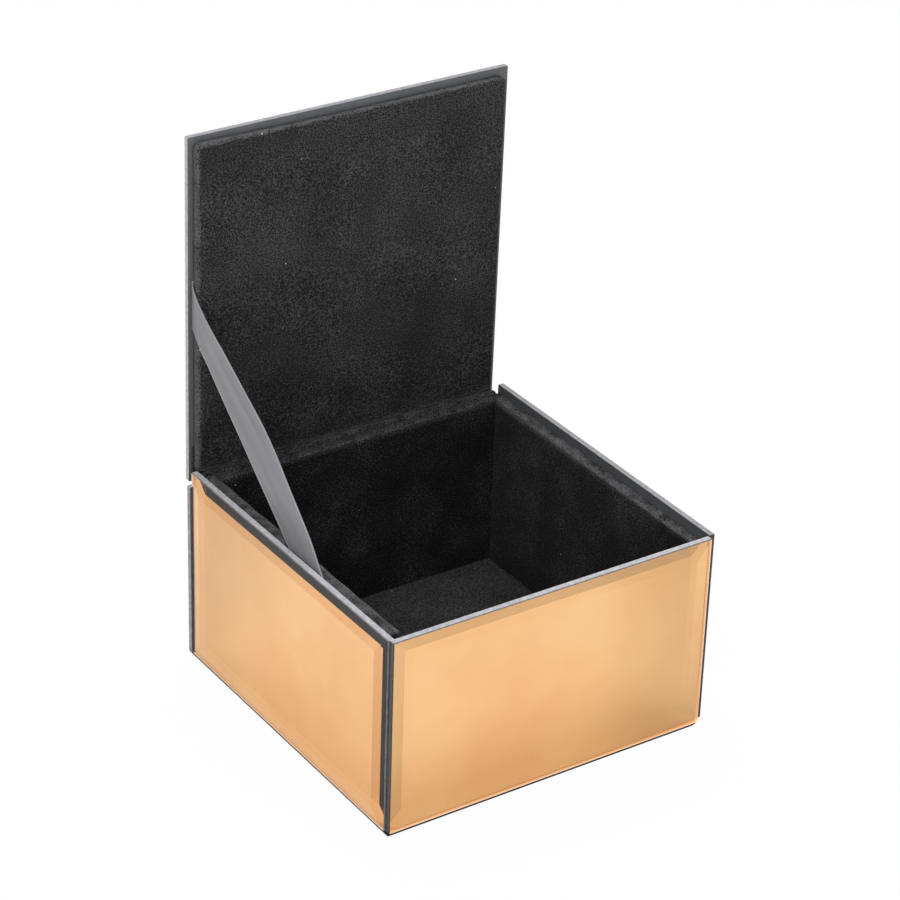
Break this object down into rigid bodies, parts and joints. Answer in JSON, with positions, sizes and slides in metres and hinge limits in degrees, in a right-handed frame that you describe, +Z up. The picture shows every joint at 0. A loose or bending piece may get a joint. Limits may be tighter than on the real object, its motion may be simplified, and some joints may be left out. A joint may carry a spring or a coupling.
{
  "type": "glass casket box",
  "caption": "Square keepsake box in bevelled copper mirror glass with black velvet lining, a cloth-hinged lid and a satin ribbon stay.",
  "frame": {"origin": "centre of the base, on the surface that the box stands on", "axes": "+Z up, +X to the box's right seen from the front, +Y from the front to the hinged back"},
  "size_m": [0.12, 0.1242, 0.1791],
  "materials": {
    "copper_mirror": "bevelled float glass silvered in copper, its back coat painted grey",
    "grey_board": "dense grey book board, uncoated",
    "velvet": "short black velvet pile",
    "satin_ribbon": "grey satin weave with a woven edge",
    "felt": "thin black felt"
  },
  "bodies": {
    "box": {"base_felt": "felt", "base_board": "grey_board", "front_glass": "copper_mirror", "back_glass": "copper_mirror", "left_glass": "copper_mirror", "right_glass": "copper_mirror", "front_board": "grey_board", "back_board": "grey_board", "left_board": "grey_board", "right_board": "grey_board", "front_velvet": "velvet", "back_velvet": "velvet", "left_velvet": "velvet", "right_velvet": "velvet", "floor_velvet": "velvet", "hinge_cloth": "velvet", "ribbon_stay": "satin_ribbon"},
    "lid": {"lid_glass": "copper_mirror", "lid_board": "grey_board", "lid_velvet": "velvet"}
  },
  "joints": [
    {"name": "lid_hinge", "type": "hinge", "parent": "box", "child": "lid", "pos_m": [0, 0.057, 0.06355], "axis": [1, 0, 0], "range_deg": [0, 89.2], "deforming": ["hinge_cloth", "ribbon_stay"]}
  ]
}
